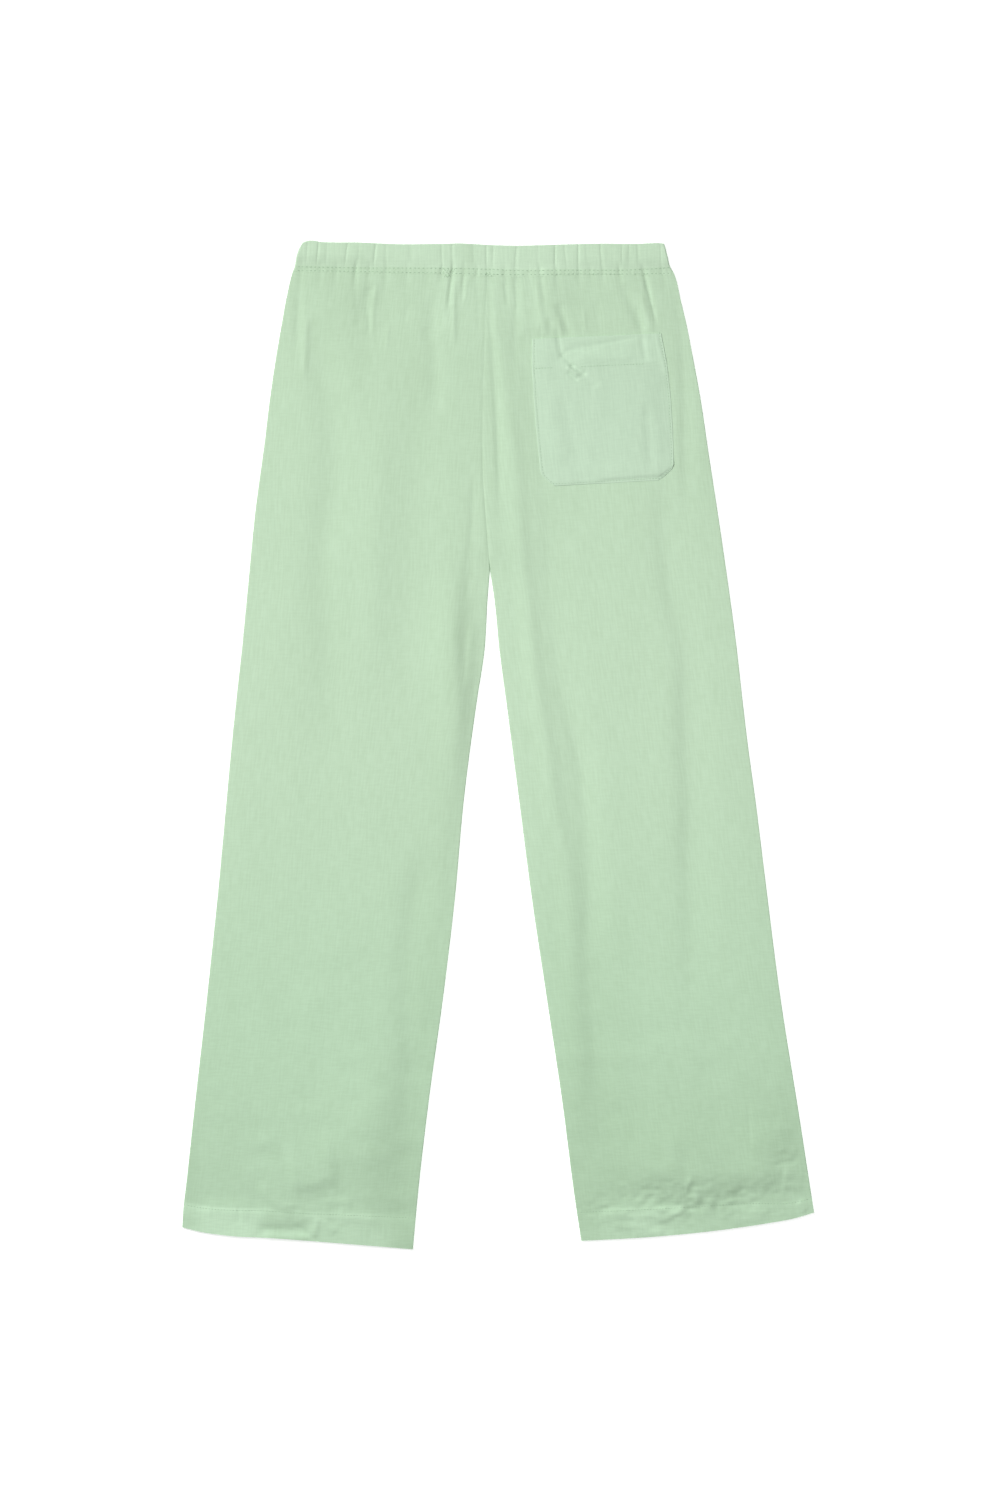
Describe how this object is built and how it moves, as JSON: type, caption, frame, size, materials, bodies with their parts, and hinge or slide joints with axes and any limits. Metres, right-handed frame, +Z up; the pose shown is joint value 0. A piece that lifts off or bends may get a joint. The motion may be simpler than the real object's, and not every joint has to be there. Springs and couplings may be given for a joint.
{
  "type": "linen drawstring trousers",
  "caption": "Wide-leg linen trousers laid flat with the back uppermost: elasticated gathered waistband, patch pocket and turned hems.",
  "frame": {"origin": "on the surface the trousers lie on, midway along their length and their width", "axes": "+Y from the hems to the waist, +X towards the wearer's right leg, +Z up out of the uppermost back panels"},
  "size_m": [0.669, 1.0685, 0.0073],
  "materials": {
    "panel_linen": "mint-green plain-weave linen, one layer, matt with fine slubs",
    "folded_linen": "the same linen where it lies over itself, a little paler, matt with fine slubs"
  },
  "bodies": {
    "root": {"front_left": "panel_linen", "front_right": "panel_linen", "back_left": "panel_linen", "back_right": "panel_linen", "waistband_front": "folded_linen", "waistband_back": "folded_linen", "back_pocket": "folded_linen"}
  },
  "joints": []
}
